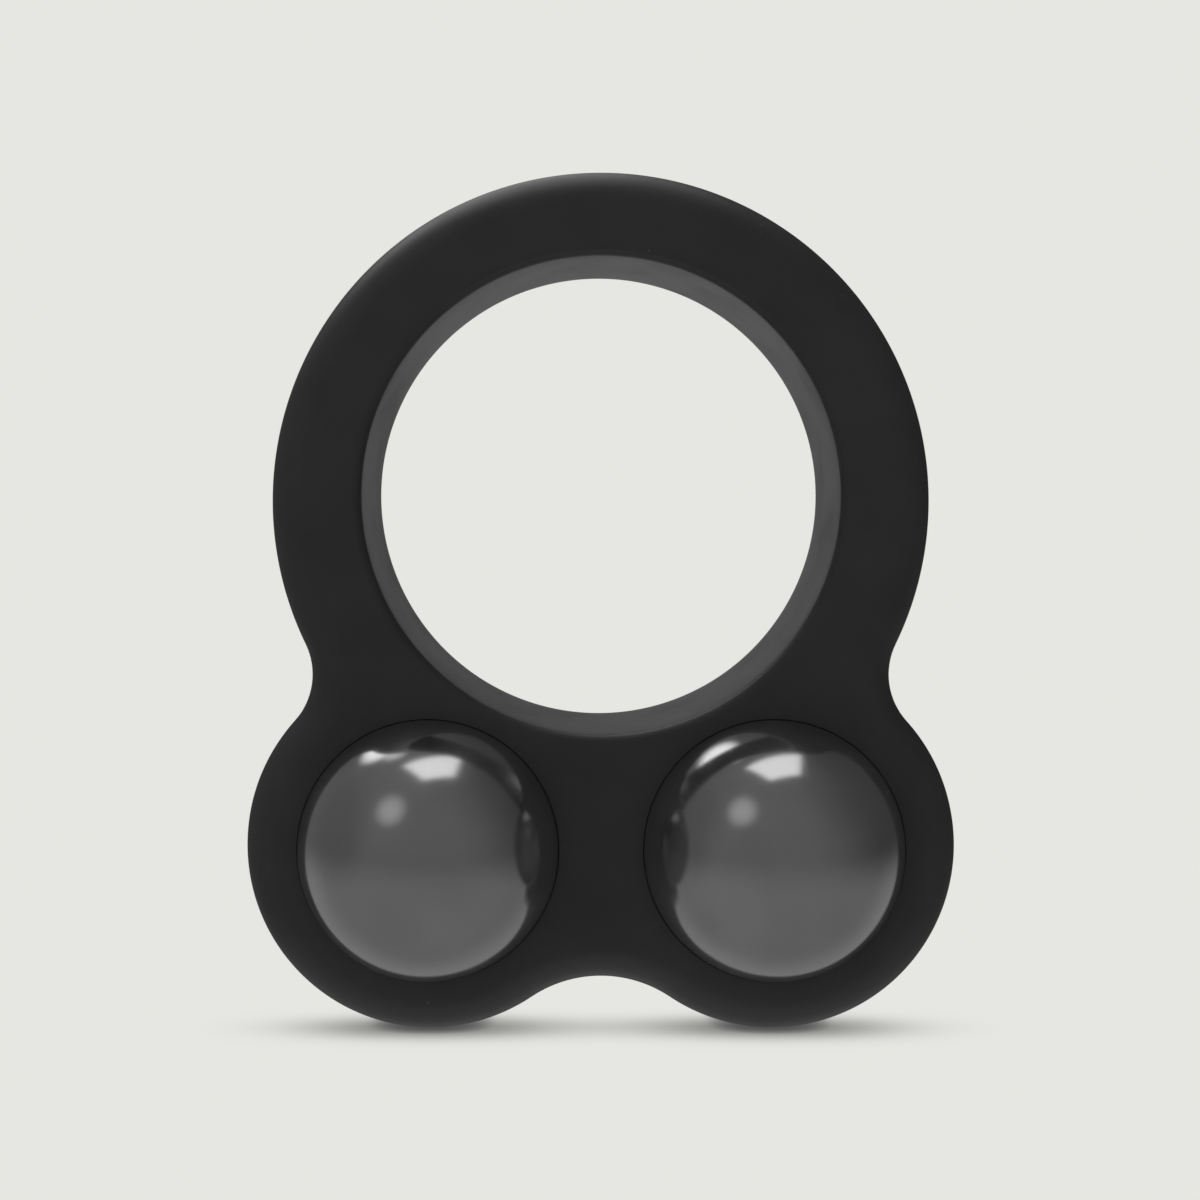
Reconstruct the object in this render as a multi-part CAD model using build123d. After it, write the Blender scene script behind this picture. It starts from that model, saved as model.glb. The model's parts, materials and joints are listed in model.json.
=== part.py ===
from build123d import *
import os

# A soft ring with two rounded lobes under it. Each lobe holds a polished steel ball
# in a ball-shaped cup that opens at the front, so that a little under half of the ball shows.
#
# X runs across, +Y runs from the front to the back and +Z runs up.
# The part stands on its lobes, with the centre of its footprint at the origin.

# ---------------------------------------------------------------- driving dimensions, mm

BALL_RADIUS = 12.5
BALL_DEPTH = 2.6  # from the frame's front face back to a ball's centre
CUP_CLEARANCE = 0.1  # radial gap between a ball and its cup
LIP_ROUND = 0.35  # rounding of a cup's lip

FRAME_THICKNESS = 17.0
EDGE_ROUND = 3.5  # rounding of the frame's outer edges, which leaves a flat to stand on
BORE_RADIUS = 22.5
BORE_HEIGHT = 50.7  # from the floor up to the bore's centre
BORE_ROUND = 0.9  # rounding of the bore's two edges

RING_RADIUS = 31.3
RING_DROP = 0.5  # how far the ring's outer circle sits below the bore's centre
LOBE_RADIUS = 17.5
LOBE_SPREAD = 16.2  # from the middle of the part out to a lobe's centre
NECK_RADIUS = 6.6  # hollow at each side, where the ring runs into a lobe
NOTCH_RADIUS = 11.7  # hollow under the part, between the lobes

# ---------------------------------------------------------------- worked out from them

BALL_STANDOUT = BALL_RADIUS - BALL_DEPTH
HALF_DEPTH = (FRAME_THICKNESS + BALL_STANDOUT) / 2
FRONT_FACE_Y = BALL_STANDOUT - HALF_DEPTH
BACK_FACE_Y = HALF_DEPTH
BALL_Y = FRONT_FACE_Y + BALL_DEPTH
LOBE_HEIGHT = LOBE_RADIUS  # a lobe's centre, because the lobes rest on the floor

# In the outline, the first coordinate runs along X and the second along Z.
RING_CENTRE = Vector(0, BORE_HEIGHT - RING_DROP)
LOBE_CENTRE = Vector(LOBE_SPREAD, LOBE_HEIGHT)
MIRRORED_LOBE_CENTRE = Vector(-LOBE_SPREAD, LOBE_HEIGHT)


def hollow_centre(first, first_radius, second, second_radius, hollow_radius):
    """Centre of the arc that hollows the corner between two circles, left of the way from first to second."""
    along = second - first
    reach = first_radius + hollow_radius
    other_reach = second_radius + hollow_radius
    step = (reach**2 - other_reach**2 + along.length**2) / (2 * along.length)
    aside = (reach**2 - step**2) ** 0.5
    way = along.normalized()
    return first + way * step + Vector(-way.Y, way.X) * aside


def touching_point(centre, radius, hollow):
    """Where a circle meets a hollow arc whose centre is given."""
    return centre + (hollow - centre).normalized() * radius


def short_arc(centre, start, end):
    """The shorter arc about a centre from one point to another."""
    outward = (start - centre) + (end - centre)
    middle = centre + outward.normalized() * (start - centre).length
    return ThreePointArc(start, middle, end)


def frame_outline():
    """The front view of the frame: ring, necks, lobes and notch, all arcs that run smoothly into each other."""
    neck = hollow_centre(RING_CENTRE, RING_RADIUS, LOBE_CENTRE, LOBE_RADIUS, NECK_RADIUS)
    notch = hollow_centre(LOBE_CENTRE, LOBE_RADIUS, MIRRORED_LOBE_CENTRE, LOBE_RADIUS, NOTCH_RADIUS)

    ring_top = RING_CENTRE + Vector(0, RING_RADIUS)
    ring_to_neck = touching_point(RING_CENTRE, RING_RADIUS, neck)
    neck_to_lobe = touching_point(LOBE_CENTRE, LOBE_RADIUS, neck)
    lobe_to_notch = touching_point(LOBE_CENTRE, LOBE_RADIUS, notch)
    notch_top = notch + Vector(0, NOTCH_RADIUS)

    right_half = Curve() + [
        short_arc(RING_CENTRE, ring_top, ring_to_neck),
        short_arc(neck, ring_to_neck, neck_to_lobe),
        short_arc(LOBE_CENTRE, neck_to_lobe, lobe_to_notch),
        short_arc(notch, lobe_to_notch, notch_top),
    ]
    return make_face(right_half + mirror(right_half, Plane.YZ))


def round_edges_on_circle(solid, radius, rounding):
    """Rounds every circular edge of one radius."""
    edges = solid.edges().filter_by(GeomType.CIRCLE)
    return fillet(edges.filter_by(lambda edge: abs(edge.radius - radius) < 1e-3), rounding)


def ball(side):
    """A ball in its place: side is -1 for the left one and 1 for the right one."""
    return Pos(side * LOBE_SPREAD, BALL_Y, LOBE_HEIGHT) * Sphere(BALL_RADIUS)


def silicone_frame():
    """Ring and lobes, moulded in one piece, with the bore and the two cups."""
    back_plane = Plane.XZ.offset(-BACK_FACE_Y)
    blank = extrude(back_plane * frame_outline(), FRAME_THICKNESS)
    faces = blank.faces().sort_by(Axis.Y)
    blank = fillet(faces[0].edges() + faces[-1].edges(), EDGE_ROUND)

    bore = Cylinder(BORE_RADIUS, 2 * FRAME_THICKNESS, rotation=(90, 0, 0))
    blank -= Pos(0, (FRONT_FACE_Y + BACK_FACE_Y) / 2, BORE_HEIGHT) * bore
    blank = round_edges_on_circle(blank, BORE_RADIUS, BORE_ROUND)

    cup_radius = BALL_RADIUS + CUP_CLEARANCE
    for side in (-1, 1):
        blank -= Pos(side * LOBE_SPREAD, BALL_Y, LOBE_HEIGHT) * Sphere(cup_radius)
    lip_radius = (cup_radius**2 - BALL_DEPTH**2) ** 0.5
    return round_edges_on_circle(blank, lip_radius, LIP_ROUND)


NODES = {
    "silicone_frame": silicone_frame(),
    "left_ball": ball(-1),
    "right_ball": ball(1),
}

os.makedirs("parts", exist_ok=True)
for name, solid in NODES.items():
    export_step(solid, f"parts/{name}.step")
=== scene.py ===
import bpy
import bmesh
import json
import numpy as np
from math import atan2, cos, pi, radians, sin, sqrt
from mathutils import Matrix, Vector
from mathutils.geometry import delaunay_2d_cdt


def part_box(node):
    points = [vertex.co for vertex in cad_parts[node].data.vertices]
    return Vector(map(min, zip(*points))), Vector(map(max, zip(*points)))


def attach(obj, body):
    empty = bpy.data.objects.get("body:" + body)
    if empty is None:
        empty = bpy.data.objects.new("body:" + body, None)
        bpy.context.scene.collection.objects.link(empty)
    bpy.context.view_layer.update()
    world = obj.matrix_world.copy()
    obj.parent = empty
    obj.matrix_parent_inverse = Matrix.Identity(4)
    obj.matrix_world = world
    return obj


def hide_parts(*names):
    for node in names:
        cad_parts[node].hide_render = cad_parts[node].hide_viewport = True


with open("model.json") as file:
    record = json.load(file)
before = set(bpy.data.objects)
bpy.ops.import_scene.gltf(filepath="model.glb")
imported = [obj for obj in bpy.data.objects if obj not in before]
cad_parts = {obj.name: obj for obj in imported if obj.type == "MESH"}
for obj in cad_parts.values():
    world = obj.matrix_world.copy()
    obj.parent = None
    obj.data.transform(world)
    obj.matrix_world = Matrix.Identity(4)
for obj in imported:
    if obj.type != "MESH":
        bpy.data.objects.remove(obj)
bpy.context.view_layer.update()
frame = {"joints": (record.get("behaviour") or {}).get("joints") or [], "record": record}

# A soft black silicone ring that stands on two lobes, with a polished steel ball in each lobe.
# +X runs across, +Y to the back and +Z up. Everything is in metres.

MM = 0.001
MOUNTS = {mount["name"]: mount for mount in frame["record"]["mounts"]}
BALL_CENTRES = {joint["child"]: Vector(joint["pos_m"]) for joint in frame["joints"]}

# ---------------------------------------------------------------- sizes that the frame gives

FRAME_LOW, FRAME_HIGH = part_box("silicone_frame")
FRONT_Y = FRAME_LOW.y
BACK_Y = FRAME_HIGH.y
THICKNESS = BACK_Y - FRONT_Y
BORE_X, _, BORE_Z = MOUNTS["ring_bore"]["pos_m"]
BORE_RADIUS = MOUNTS["ring_bore"]["dims"]["r_mm"] * MM
BORE_ROUND = (THICKNESS - MOUNTS["ring_bore"]["dims"]["length_mm"] * MM) / 2
BALL_RADIUS = (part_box("left_ball")[1].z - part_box("left_ball")[0].z) / 2
BALL_DEPTH = BALL_CENTRES["left_ball"].y - FRONT_Y

# ---------------------------------------------------------------- sizes of the silicone's shape

EDGE_ROUND = 3.5 * MM
RING_RADIUS = 31.3 * MM
NECK_RADIUS = 6.6 * MM
NOTCH_RADIUS = 11.7 * MM
CUP_CLEARANCE = 0.015 * MM  # the soft lip closes up to the ball
LIP_ROUND = 0.06 * MM

# Centres in the front view, as (x, z).
BORE_CENTRE = Vector((BORE_X, BORE_Z))
RING_CENTRE = Vector((0.0, FRAME_HIGH.z - RING_RADIUS))
LEFT_LOBE = BALL_CENTRES["left_ball"].xz
RIGHT_LOBE = BALL_CENTRES["right_ball"].xz
LOBE_RADIUS = RIGHT_LOBE.y - FRAME_LOW.z

# ---------------------------------------------------------------- fineness of the mesh

OUTLINE_STEP = 0.5 * MM  # along the outline
FACE_STEP = 0.9 * MM  # on the flat faces
RING_GAP = 0.6 * FACE_STEP  # kept clear round the rings on the flat faces
SAME_POINT = 0.0001 * MM  # points nearer to each other than this are one
BORE_POINTS = 288
LIP_POINTS = 192
ROUND_STEPS = 12  # across a rounded edge
WALL_STEPS = 8  # across a straight wall
CUP_STEPS = 24  # from a cup's lip to its bottom
BALL_FINENESS = 6  # how often the cube that becomes a ball is halved


# ---------------------------------------------------------------- outline of the silicone frame


def hollow_centre(first, first_radius, second, second_radius, hollow_radius):
    """Centre of the hollow arc that touches two circles, left of the way from first to second."""
    along = second - first
    reach = first_radius + hollow_radius
    other_reach = second_radius + hollow_radius
    step = (reach**2 - other_reach**2 + along.length**2) / (2 * along.length)
    way = along.normalized()
    return first + way * step + Vector((-way.y, way.x)) * sqrt(reach**2 - step**2)


def bearing(start, end):
    """Angle from +X towards +Z of the way from one point to another."""
    return atan2(end.y - start.y, end.x - start.x)


def outline_arcs():
    """The right half of the front view, from the top down.

    Each arc is (centre, radius, swell, first angle, last angle). One of swell 1 shrinks when the outline
    moves inwards, and a hollow one, of swell -1, grows."""
    neck = hollow_centre(RING_CENTRE, RING_RADIUS, RIGHT_LOBE, LOBE_RADIUS, NECK_RADIUS)
    notch = hollow_centre(RIGHT_LOBE, LOBE_RADIUS, LEFT_LOBE, LOBE_RADIUS, NOTCH_RADIUS)
    ring_end = bearing(RING_CENTRE, neck)
    lobe_start = bearing(RIGHT_LOBE, neck)
    lobe_end = bearing(RIGHT_LOBE, notch)
    return [
        (RING_CENTRE, RING_RADIUS, 1, pi / 2, ring_end),
        (neck, NECK_RADIUS, -1, ring_end + pi, lobe_start + pi),
        (RIGHT_LOBE, LOBE_RADIUS, 1, lobe_start, lobe_end),
        (notch, NOTCH_RADIUS, -1, lobe_end + pi, pi / 2),
    ]


def arc_point(centre, radius, angle):
    return centre + radius * Vector((cos(angle), sin(angle)))


def outline(inset):
    """Points (x, z) round the front view, moved inwards by inset. Their number is the same for any inset."""
    half = []
    for centre, radius, swell, first, last in outline_arcs():
        count = max(2, round(abs(last - first) * radius / OUTLINE_STEP))
        for step in range(count):
            angle = first + (last - first) * step / count
            half.append(arc_point(centre, radius - swell * inset, angle))
    centre, radius, swell, _, last = outline_arcs()[-1]
    bottom = arc_point(centre, radius - swell * inset, last)
    return half + [bottom] + [Vector((-point.x, point.y)) for point in reversed(half[1:])]


def circle(centre, radius, count):
    """Points (x, z) round a circle."""
    return [arc_point(centre, radius, 2 * pi * step / count) for step in range(count)]


# ---------------------------------------------------------------- profiles

# A profile is a list of (inset, distance behind the front face).


def through_profile(rounding):
    """From the front face round the edge, along the wall and round the back edge to the back face."""
    front = []
    for step in range(ROUND_STEPS + 1):
        turn = pi / 2 * step / ROUND_STEPS
        front.append((rounding * (1 - sin(turn)), rounding * (1 - cos(turn))))
    length = THICKNESS - 2 * rounding
    wall = [(0.0, rounding + length * step / WALL_STEPS) for step in range(1, WALL_STEPS)]
    back = [(inset, THICKNESS - depth) for inset, depth in reversed(front)]
    return front + wall + back


def cup_profile():
    """From the front face round the lip and down the cup, almost to its bottom. Insets are radii here."""
    cup_radius = BALL_RADIUS + CUP_CLEARANCE
    lip_radius = sqrt((cup_radius + LIP_ROUND) ** 2 - (BALL_DEPTH - LIP_ROUND) ** 2)
    lip_end = atan2(BALL_DEPTH - LIP_ROUND, -lip_radius)
    profile = []
    for step in range(ROUND_STEPS):
        turn = 3 * pi / 2 + (lip_end - 3 * pi / 2) * step / ROUND_STEPS
        profile.append((lip_radius + LIP_ROUND * cos(turn), LIP_ROUND * (1 + sin(turn))))
    cup_start = atan2(lip_radius, LIP_ROUND - BALL_DEPTH)
    for step in range(CUP_STEPS):
        turn = cup_start * (1 - step / CUP_STEPS)
        profile.append((cup_radius * sin(turn), BALL_DEPTH + cup_radius * cos(turn)))
    return profile


# ---------------------------------------------------------------- mesh building


def add_ring(mesh, points, depth):
    return [mesh.verts.new((point.x, FRONT_Y + depth, point.y)) for point in points]


def join_rings(mesh, rings):
    """Fills between closed rings of points that follow each other."""
    for ring, following in zip(rings, rings[1:]):
        for index, corner in enumerate(ring):
            after = (index + 1) % len(ring)
            mesh.faces.new((corner, ring[after], following[after], following[index]))


def close_ring(mesh, ring, depth):
    """Closes a small ring with one point in its middle."""
    middle = sum((vert.co.xz for vert in ring), Vector((0.0, 0.0))) / len(ring)
    tip = add_ring(mesh, [middle], depth)[0]
    for index, corner in enumerate(ring):
        mesh.faces.new((corner, ring[(index + 1) % len(ring)], tip))


def inside_rings(points, corners, edges):
    """Which of the points (x, z) lie between the outer ring and the holes.

    From such a point, a line to the right crosses an odd number of the rings' edges."""
    starts, ends = corners[edges[:, 0]], corners[edges[:, 1]]
    inside = np.zeros(len(points), dtype=bool)
    for (start_x, start_z), (end_x, end_z) in zip(starts, ends):
        level = (start_z > points[:, 1]) != (end_z > points[:, 1])
        with np.errstate(divide="ignore", invalid="ignore"):
            crossing = start_x + (points[:, 1] - start_z) * (end_x - start_x) / (end_z - start_z)
        inside ^= level & (points[:, 0] < crossing)
    return inside


def spread_points(corners):
    """Points (x, z) in a honeycomb over the whole face that keep clear of its rings."""
    low, high = corners.min(axis=0), corners.max(axis=0)
    row_step = FACE_STEP * sin(pi / 3)
    points = []
    for row, level in enumerate(np.arange(low[1], high[1], row_step)):
        shift = FACE_STEP / 2 * (row % 2)
        points += [(across, level) for across in np.arange(low[0] + shift, high[0], FACE_STEP)]
    return [point for point in points if np.hypot(*(corners - point).T).min() > RING_GAP]


def fill_flat_face(mesh, rings, depth):
    """Fills a flat face between its outer ring and the rings of its holes with even triangles."""
    ring_verts = [vert for ring in rings for vert in ring]
    corners = np.array([tuple(vert.co.xz) for vert in ring_verts])
    edges = []
    for ring in rings:
        first = len(edges)
        edges += [(first + index, first + (index + 1) % len(ring)) for index in range(len(ring))]

    points = [Vector(point) for point in (*corners, *spread_points(corners))]
    points, _, triangles, sources, _, _ = delaunay_2d_cdt(points, edges, [], 0, SAME_POINT)
    middles = [sum((points[corner] for corner in triangle), Vector((0.0, 0.0))) / 3 for triangle in triangles]
    used = inside_rings(np.array(middles), corners, np.array(edges))
    verts = {}
    for triangle in np.array(triangles)[used]:
        for corner in triangle:
            if corner not in verts:
                source = sources[corner][0]
                on_ring = source < len(ring_verts)
                verts[corner] = ring_verts[source] if on_ring else add_ring(mesh, [points[corner]], depth)[0]
        mesh.faces.new([verts[corner] for corner in triangle])


def finish_mesh(mesh, name):
    """Turns a bmesh into a smoothly shaded object."""
    bmesh.ops.recalc_face_normals(mesh, faces=mesh.faces)
    for face in mesh.faces:
        face.smooth = True
    data = bpy.data.meshes.new(name)
    mesh.to_mesh(data)
    mesh.free()
    piece = bpy.data.objects.new(name, data)
    bpy.context.scene.collection.objects.link(piece)
    return piece


def silicone_body():
    """The ring and its lobes in one moulded piece, with the bore and both cups."""
    mesh = bmesh.new()
    outside = [add_ring(mesh, outline(inset), depth) for inset, depth in through_profile(EDGE_ROUND)]
    bore = [
        add_ring(mesh, circle(BORE_CENTRE, BORE_RADIUS + inset, BORE_POINTS), depth)
        for inset, depth in through_profile(BORE_ROUND)
    ]
    join_rings(mesh, outside)
    join_rings(mesh, bore)
    lips = []
    for lobe in (LEFT_LOBE, RIGHT_LOBE):
        cup = [add_ring(mesh, circle(lobe, radius, LIP_POINTS), depth) for radius, depth in cup_profile()]
        join_rings(mesh, cup)
        close_ring(mesh, cup[-1], BALL_DEPTH + BALL_RADIUS + CUP_CLEARANCE)
        lips.append(cup[0])
    fill_flat_face(mesh, [outside[0], bore[0], *lips], 0.0)
    fill_flat_face(mesh, [outside[-1], bore[-1]], THICKNESS)
    return finish_mesh(mesh, "silicone_body")


def steel_ball(name, centre):
    """A ball made of even quads, from a cube whose points are pushed out onto the ball."""
    mesh = bmesh.new()
    bmesh.ops.create_cube(mesh, size=2.0)
    for _ in range(BALL_FINENESS):
        bmesh.ops.subdivide_edges(mesh, edges=mesh.edges, cuts=1, use_grid_fill=True)
    for vert in mesh.verts:
        evened = Vector([4 / pi * atan2(value, 1) for value in vert.co])
        vert.co = centre + BALL_RADIUS * evened.normalized()
    return finish_mesh(mesh, name)


# ---------------------------------------------------------------- node helpers


class Graph:
    """A node tree with short calls for what the materials here need."""

    def __init__(self, tree):
        self.tree = tree
        tree.nodes.clear()

    def add(self, kind, inputs=(), **settings):
        made = self.tree.nodes.new(kind)
        for name, value in settings.items():
            setattr(made, name, value)
        for name, value in dict(inputs).items():
            self.feed(made.inputs[name], value)
        return made

    def feed(self, socket, value):
        if isinstance(value, bpy.types.NodeSocket):
            self.tree.links.new(value, socket)
        else:
            socket.default_value = value

    def math(self, operation, first, second=0.0):
        return self.add("ShaderNodeMath", {0: first, 1: second}, operation=operation).outputs[0]

    def ease(self, value, start, end, low=0.0, high=1.0):
        """low where value is at start or before, high at end or after, and smooth between."""
        settings = {"Value": value, 1: start, 2: end, 3: low, 4: high}
        return self.add("ShaderNodeMapRange", settings, interpolation_type="SMOOTHSTEP").outputs[0]

    def noise(self, place, size, detail=2.0, roughness=0.5):
        """Soft cloudy noise, of about 0 to 1, with features of that size in metres."""
        settings = {"Vector": place, "Scale": 1 / size, "Detail": detail, "Roughness": roughness}
        return self.add("ShaderNodeTexNoise", settings).outputs[0]

    def ramp(self, value, stops):
        """A colour ramp over (position, grey or colour) stops."""
        made = self.add("ShaderNodeValToRGB", {"Fac": value})
        elements = made.color_ramp.elements
        while len(elements) < len(stops):
            elements.new(1.0)
        for element, (position, shade) in zip(elements, stops):
            element.position = position
            element.color = (*shade, 1.0) if isinstance(shade, tuple) else (shade, shade, shade, 1.0)
        return made.outputs[0]

    def mix(self, factor, first, second, blend="MIX"):
        made = self.add("ShaderNodeMix", data_type="RGBA", blend_type=blend)
        for index, value in ((0, factor), (6, first), (7, second)):
            self.feed(made.inputs[index], value)
        return made.outputs[2]

    def bump(self, height, distance, strength=1.0, normal=None):
        settings = {"Height": height, "Distance": distance, "Strength": strength}
        if normal:
            settings["Normal"] = normal
        return self.add("ShaderNodeBump", settings).outputs[0]


def new_material(name):
    material = bpy.data.materials.new(name)
    material.use_nodes = True
    graph = Graph(material.node_tree)
    output = graph.add("ShaderNodeOutputMaterial")
    shader = graph.add("ShaderNodeBsdfPrincipled")
    graph.feed(output.inputs["Surface"], shader.outputs[0])
    return material, graph, shader.inputs


# ---------------------------------------------------------------- materials

SILICONE_DULL = (0.0150, 0.0150, 0.0152)
SILICONE_CLEAN = (0.0188, 0.0188, 0.0191)
SILICONE_IOR = 1.45
SILICONE_ROUGHNESS = (0.43, 0.54)
LINT_COLOUR = (0.06, 0.06, 0.058, 1.0)
LINT_SPACING = 3.1 * MM
LINT_SIZE = (0.03, 0.018)  # where a speck ends and where it is whole, in spacings
MARK_SIZE = 9 * MM
GRAIN_SIZE = 0.22 * MM
GRAIN_HEIGHT = 0.02 * MM
GRAIN_STRENGTH = 0.5
WAVE_SIZE = 6 * MM
WAVE_HEIGHT = 0.03 * MM
WAVE_STRENGTH = 0.4
LIP_WEAR_WIDTH = 1.5 * MM
BORE_WEAR_WIDTH = 1.0 * MM
WEAR = (0.02, 0.07)  # how much less rough the rubbed places are

STEEL_FILMED = (0.92, 0.92, 0.93)
STEEL_CLEAN = (0.97, 0.97, 0.97)
STEEL_ROUGHNESS = (0.125, 0.165)
FILM_SIZE = 7 * MM
HAIRLINE_WIDTH = 0.12 * MM
HAIRLINE_STRETCH = 0.03  # the smaller, the longer the hairlines
HAIRLINE_ROUGHNESS = 0.05  # how much rougher a hairline is
HAIRLINE_HEIGHT = 0.0008 * MM
HAIRLINE_STRENGTH = 0.4


def black_silicone():
    """Soft black silicone with a satin mould grain, faint handling marks and a little lint.

    It is smoother where the balls rub the lips and where things are pushed through the bore."""
    material, graph, shader = new_material("black_silicone")
    place = graph.add("ShaderNodeTexCoord").outputs["Object"]
    marks = graph.noise(place, MARK_SIZE, detail=4.0, roughness=0.6)
    grain = graph.noise(place, GRAIN_SIZE, detail=3.0, roughness=0.6)
    waves = graph.noise(place, WAVE_SIZE, detail=1.0)
    lint = graph.add("ShaderNodeTexVoronoi", {"Vector": place, "Scale": 1 / LINT_SPACING, "Randomness": 1.0})
    speck = graph.ease(lint.outputs["Distance"], *LINT_SIZE)

    def rubbed(centre, radius, width):
        """1 at a round edge of the front view and inside it, and 0 from that width outside it."""
        flattened = {0: place, 1: (1.0, 0.0, 1.0)}
        flat = graph.add("ShaderNodeVectorMath", flattened, operation="MULTIPLY").outputs[0]
        middle = (centre.x, 0.0, centre.y)
        away = graph.add("ShaderNodeVectorMath", {0: flat, 1: middle}, operation="DISTANCE").outputs["Value"]
        return graph.ease(away, radius + width, radius)

    lips = [rubbed(lobe, BALL_RADIUS, LIP_WEAR_WIDTH) for lobe in (LEFT_LOBE, RIGHT_LOBE)]
    bore_edge = rubbed(BORE_CENTRE, BORE_RADIUS, BORE_WEAR_WIDTH)
    worn = graph.math("MAXIMUM", graph.math("MAXIMUM", *lips), bore_edge)
    worn = graph.math("MULTIPLY", worn, graph.ease(marks, 0.2, 0.6, *WEAR))

    body = graph.ramp(marks, [(0.3, SILICONE_DULL), (0.7, SILICONE_CLEAN)])
    graph.feed(shader["Base Color"], graph.mix(speck, body, LINT_COLOUR))
    satin = graph.ease(marks, 0.25, 0.75, *SILICONE_ROUGHNESS)
    graph.feed(shader["Roughness"], graph.math("SUBTRACT", satin, worn))
    shader["IOR"].default_value = SILICONE_IOR
    fine = graph.bump(grain, GRAIN_HEIGHT, GRAIN_STRENGTH)
    graph.feed(shader["Normal"], graph.bump(waves, WAVE_HEIGHT, WAVE_STRENGTH, fine))
    return material


def polished_steel():
    """Mirror-polished steel with a faint film from handling, and hairlines along the way that it rolls."""
    material, graph, shader = new_material("polished_steel")
    place = graph.add("ShaderNodeTexCoord").outputs["Object"]
    film = graph.noise(place, FILM_SIZE, detail=3.0)
    stretch = (1.0, HAIRLINE_STRETCH, HAIRLINE_STRETCH)
    stretched = graph.add("ShaderNodeMapping", {"Vector": place, "Scale": stretch}).outputs[0]
    hairs = graph.noise(stretched, HAIRLINE_WIDTH, detail=1.0)
    hairline = graph.ease(hairs, 0.64, 0.72)

    shader["Metallic"].default_value = 1.0
    graph.feed(shader["Base Color"], graph.ramp(film, [(0.3, STEEL_FILMED), (0.7, STEEL_CLEAN)]))
    smooth = graph.ease(film, 0.3, 0.7, *STEEL_ROUGHNESS)
    rougher = graph.math("MULTIPLY", hairline, HAIRLINE_ROUGHNESS)
    graph.feed(shader["Roughness"], graph.math("ADD", smooth, rougher))
    graph.feed(shader["Normal"], graph.bump(hairline, HAIRLINE_HEIGHT, HAIRLINE_STRENGTH))
    return material


def paint(piece, material):
    piece.data.materials.clear()
    piece.data.materials.append(material)


# ---------------------------------------------------------------- the object


def make_object():
    body = silicone_body()
    paint(body, black_silicone())
    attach(body, "frame")
    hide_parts("silicone_frame")

    steel = polished_steel()
    for side in ("left_ball", "right_ball"):
        ball = steel_ball("steel_" + side, BALL_CENTRES[side])
        paint(ball, steel)
        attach(ball, side)
        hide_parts(side)
    return body


# ---------------------------------------------------------------- studio

FLOOR_COLOUR = (0.791, 0.799, 0.761, 1.0)
STUDIO_LIGHT = 0.95
BRIGHTER_LEFT = 0.35  # how much brighter matt surfaces are lit from the left, and darker from the right

# Grey of the studio in shiny surfaces, from straight below (0) past the horizon (0.5) to straight above (1).
STUDIO_WALLS = [
    (0.0, 0.105),
    (0.29, 0.105),
    (0.37, 0.094),
    (0.46, 0.077),
    (0.6, 0.081),
    (0.9, 0.079),
    (1.0, 0.1),
]
DARK_SIDE = (135, 10)  # where the walls are darkest, as (azimuth, elevation)
DARK_SIDE_LOSS = 0.6

# The overhead panel, by the slopes at which its edges are seen: steps across or back for each step up.
PANEL_LEVEL = 0.6
PANEL_TURN = 0.34
PANEL_SLANT = 0.65
LOWEST_RISE = 0.05  # keeps those slopes finite near the horizon
PANEL_LEFT = (-0.38, -0.27)
PANEL_RIGHT = (0.42, 0.3)
PANEL_FRONT = (-0.45, -0.35)
PANEL_BACK = (0.07, -0.03)

# Round soft lights, as (azimuth, elevation, full inside, gone at, level), in degrees.
SPOT = (-37, 37, 0, 18, 1.0)
SPOT_LEVEL = 0.18
BACK_LEFT_LIGHT = (-130, 52, 5, 15, 0.8)
BACK_LEFT_GLOW = (-122, 64, 3, 11, 0.45)
BEHIND_LIGHT = (-179, -3, 8, 26, 0.5)  # lights the wall of the bore
LEFT_SHADE = (-85, 12, 5, 40, -0.02)
FLOOR_LEVEL = 0.075  # what the floor behind the part adds to the walls
SECOND_MIRROR_LOSS = 0.86

FLOOR_SIZE = 6.0

# The painted soft shadow under each lobe, which is thin from front to back; it is drawn into the floor's
# colour, not cast.
SHADOW_DENSITY = 1.35
SHADOW_WIDTH = 7.1 * MM
SHADOW_DEPTH = 2.0 * MM
SHADOW_Y = FRONT_Y + 3.0 * MM
BETWEEN_LOBES = 0.1  # how much of that shadow there is under the notch besides
BETWEEN_WIDTH = 6.0 * MM
CONTACT_REACH = 1.5 * MM
CONTACT_LIGHT = (0.4, 1.0)  # painted contact shade: what is left of the floor's light where the part touches it, and away from it

# Lights on the rubber only, as (way out to it, distance, size, power).
KEY_SOFTBOX = (Vector((-0.23, 0.34, 0.91)), 0.4, 0.4, 0.8)
FLOOR_BOUNCE = (Vector((0.0, -0.1, -1.0)), 0.3, 0.6, 0.36)


def direction(azimuth, elevation):
    """A way out of the middle of the scene. Azimuth 0 is towards the camera and 90 to its right."""
    turn, rise = radians(azimuth), radians(elevation)
    return Vector((sin(turn) * cos(rise), -cos(turn) * cos(rise), sin(rise)))


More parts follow.
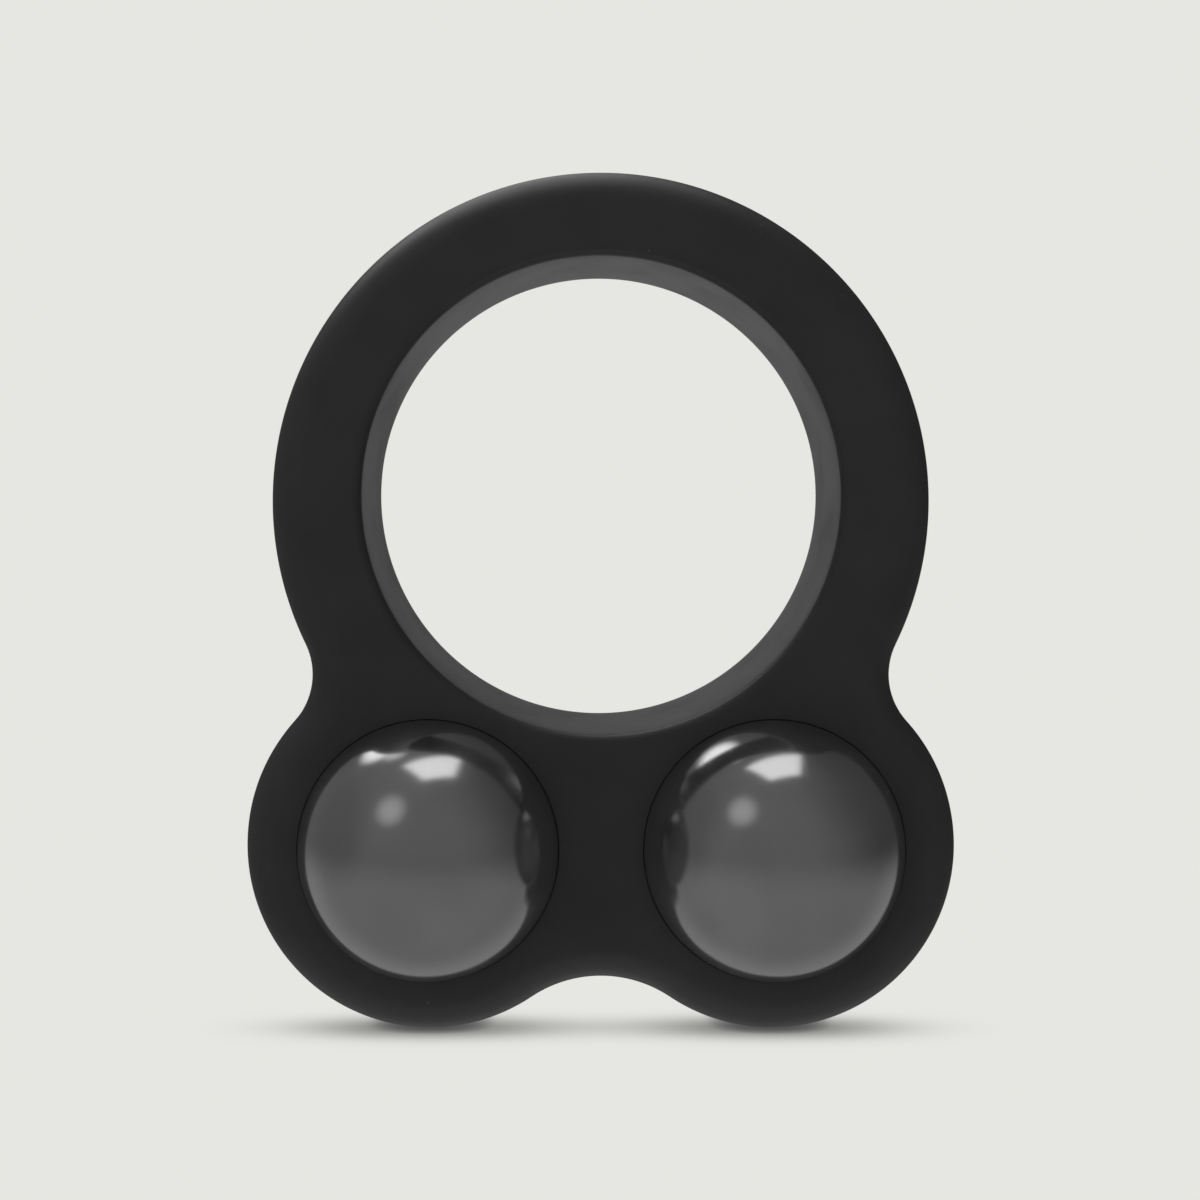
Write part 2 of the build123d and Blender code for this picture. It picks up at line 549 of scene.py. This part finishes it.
def studio_world():
    """Even light on matt surfaces, and the softboxes and walls of a grey studio in shiny ones."""
    world = bpy.data.worlds.new("studio")
    bpy.context.scene.world = world
    world.use_nodes = True
    graph = Graph(world.node_tree)
    way = graph.add("ShaderNodeTexCoord").outputs["Generated"]
    across, back, up = graph.add("ShaderNodeSeparateXYZ", {0: way}).outputs

    def towards(azimuth, elevation):
        vectors = {0: way, 1: direction(azimuth, elevation)}
        return graph.add("ShaderNodeVectorMath", vectors, operation="DOT_PRODUCT").outputs["Value"]

    def patch(azimuth, elevation, size, soft, level):
        """A round soft light: full inside size degrees, gone at soft degrees."""
        return graph.ease(towards(azimuth, elevation), cos(radians(soft)), cos(radians(size)), 0.0, level)

    height = graph.add("ShaderNodeMapRange", {"Value": up, 1: -1.0, 2: 1.0}).outputs[0]
    walls = graph.ramp(height, STUDIO_WALLS)
    darkness = graph.ease(towards(*DARK_SIDE), -0.3, 1.0, 0.0, DARK_SIDE_LOSS)
    dark_side = graph.math("MULTIPLY", darkness, graph.ease(up, -0.5, 0.0))
    lights = graph.math("MULTIPLY", walls, graph.math("SUBTRACT", 1.0, dark_side))

    rise = graph.math("MAXIMUM", up, LOWEST_RISE)
    aside = graph.math("DIVIDE", across, rise)
    turned = graph.math("MULTIPLY", aside, PANEL_TURN)
    deep = graph.math("SUBTRACT", graph.math("DIVIDE", back, rise), turned)
    slanted = graph.math("ADD", aside, graph.math("MULTIPLY", deep, PANEL_SLANT))
    panel = graph.ease(up, 0.0, 0.3, 0.0, PANEL_LEVEL)
    for edge in (
        graph.ease(slanted, *PANEL_LEFT),
        graph.ease(aside, *PANEL_RIGHT),
        graph.ease(deep, *PANEL_FRONT),
        graph.ease(deep, *PANEL_BACK),
    ):
        panel = graph.math("MULTIPLY", panel, edge)
    floor = graph.math("MULTIPLY", graph.ease(back, 0.0, 0.8), graph.ease(up, -0.1, -0.35, 0.0, FLOOR_LEVEL))
    spot = graph.math("MULTIPLY", graph.math("POWER", patch(*SPOT), 2.0), SPOT_LEVEL)
    back_left = graph.math("MAXIMUM", patch(*BACK_LEFT_LIGHT), patch(*BACK_LEFT_GLOW))
    for light in (panel, floor, spot, back_left, patch(*BEHIND_LIGHT), patch(*LEFT_SHADE)):
        lights = graph.math("ADD", lights, light)

    # What one ball shows of the other is darker than what it shows of the studio.
    ray = graph.add("ShaderNodeLightPath").outputs
    again = graph.math("GREATER_THAN", ray["Glossy Depth"], 1.5)
    kept = graph.math("SUBTRACT", 1.0, graph.math("MULTIPLY", again, SECOND_MIRROR_LOSS))
    lights = graph.math("MULTIPLY", lights, kept)

    shiny = graph.add("ShaderNodeBackground", {"Color": lights})
    sideways = graph.math("MULTIPLY", across, -STUDIO_LIGHT * BRIGHTER_LEFT)
    strength = graph.math("ADD", sideways, STUDIO_LIGHT)
    matt = graph.add("ShaderNodeBackground", {"Strength": strength, "Color": (1.0, 1.0, 1.0, 1.0)})
    seen = graph.add("ShaderNodeBackground", {"Color": FLOOR_COLOUR})
    lit = graph.add("ShaderNodeMixShader", {0: ray["Is Glossy Ray"], 1: matt.outputs[0], 2: shiny.outputs[0]})
    both = graph.add("ShaderNodeMixShader", {0: ray["Is Camera Ray"], 1: lit.outputs[0], 2: seen.outputs[0]})
    graph.add("ShaderNodeOutputWorld", {"Surface": both.outputs[0]})


def studio_floor():
    """A wide pale floor, as even as the background, with a painted soft shadow under each lobe and painted
    shade where the part touches it.
    """
    mesh = bmesh.new()
    bmesh.ops.create_grid(mesh, x_segments=8, y_segments=8, size=FLOOR_SIZE / 2)
    floor = finish_mesh(mesh, "studio_floor")
    material = bpy.data.materials.new("studio_floor")
    material.use_nodes = True
    graph = Graph(material.node_tree)
    place = graph.add("ShaderNodeTexCoord").outputs["Object"]
    across, back, _ = graph.add("ShaderNodeSeparateXYZ", {0: place}).outputs

    def bell(value, middle, spread):
        """1 at the middle, and less with distance from it, as on a bell curve."""
        steps = graph.math("DIVIDE", graph.math("SUBTRACT", value, middle), spread)
        return graph.math("EXPONENT", graph.math("MULTIPLY", graph.math("MULTIPLY", steps, steps), -0.5))

    # Painted shadow: bell curves under the lobes darken the floor's glow, and no light is blocked here.
    lobes = graph.math("ADD", *(bell(across, lobe.x, SHADOW_WIDTH) for lobe in (LEFT_LOBE, RIGHT_LOBE)))
    between = graph.math("MULTIPLY", bell(across, BORE_X, BETWEEN_WIDTH), BETWEEN_LOBES)
    density = graph.math("MULTIPLY", graph.math("ADD", lobes, between), bell(back, SHADOW_Y, SHADOW_DEPTH))
    shade = graph.math("EXPONENT", graph.math("MULTIPLY", density, -SHADOW_DENSITY))
    # Painted contact shade: ambient occlusion darkens the floor's glow close to the part.
    near = graph.add("ShaderNodeAmbientOcclusion", {"Distance": CONTACT_REACH}, samples=16).outputs["AO"]
    light = graph.math("MULTIPLY", shade, graph.ease(near, 0.0, 0.6, *CONTACT_LIGHT))
    tone = graph.mix(light, (0.0, 0.0, 0.0, 1.0), FLOOR_COLOUR)
    glow = graph.add("ShaderNodeEmission", {"Color": tone}).outputs[0]
    graph.add("ShaderNodeOutputMaterial", {"Surface": glow})
    paint(floor, material)
    floor.visible_glossy = False
    floor.visible_shadow = False


def rubber_light(name, aim, way, distance, size, power, receivers):
    """A square softbox that lights the rubber only, out in one direction from what it aims at."""
    data = bpy.data.lights.new(name, "AREA")
    data.size = size
    data.energy = power
    light = bpy.data.objects.new(name, data)
    light.location = aim + distance * way.normalized()
    light.rotation_euler = way.to_track_quat("Z", "Y").to_euler()
    light.light_linking.receiver_collection = receivers
    bpy.context.scene.collection.objects.link(light)


def rubber_lights(body):
    """What brings out the rubber's rounded edges: a softbox over its back, and light off the floor."""
    receivers = bpy.data.collections.new("lit_rubber")
    receivers.objects.link(body)
    middle = (FRAME_LOW + FRAME_HIGH) / 2
    rubber_light("key_softbox", middle, *KEY_SOFTBOX, receivers)
    rubber_light("floor_bounce", middle, *FLOOR_BOUNCE, receivers)


# ---------------------------------------------------------------- camera

CAMERA_DISTANCE = 147.7 * MM  # from the front face
SENSOR_WIDTH = 36.0
CAMERA_X = -2.6 * MM
CAMERA_DROP = 0.65 * MM  # below the middle of the bore
PICTURE_WIDTH = 112.1 * MM  # what the picture spans at the front face
PICTURE_CENTRE = Vector((-0.11 * MM, 40.91 * MM))


def make_camera():
    """A level camera at about the height of the bore, a little left of the middle."""
    height = BORE_Z - CAMERA_DROP
    data = bpy.data.cameras.new("camera")
    data.sensor_width = SENSOR_WIDTH
    data.lens = SENSOR_WIDTH * CAMERA_DISTANCE / PICTURE_WIDTH
    data.shift_x = (PICTURE_CENTRE.x - CAMERA_X) / PICTURE_WIDTH
    data.shift_y = (PICTURE_CENTRE.y - height) / PICTURE_WIDTH
    data.clip_start = CAMERA_DISTANCE / 10
    data.clip_end = FLOOR_SIZE * 2
    camera = bpy.data.objects.new("camera", data)
    camera.location = (CAMERA_X, FRONT_Y - CAMERA_DISTANCE, height)
    camera.rotation_euler = (pi / 2, 0.0, 0.0)
    bpy.context.scene.collection.objects.link(camera)
    bpy.context.scene.camera = camera


make_camera()
rubber_lights(make_object())
studio_world()
studio_floor()
bpy.context.scene.view_settings.view_transform = "Standard"
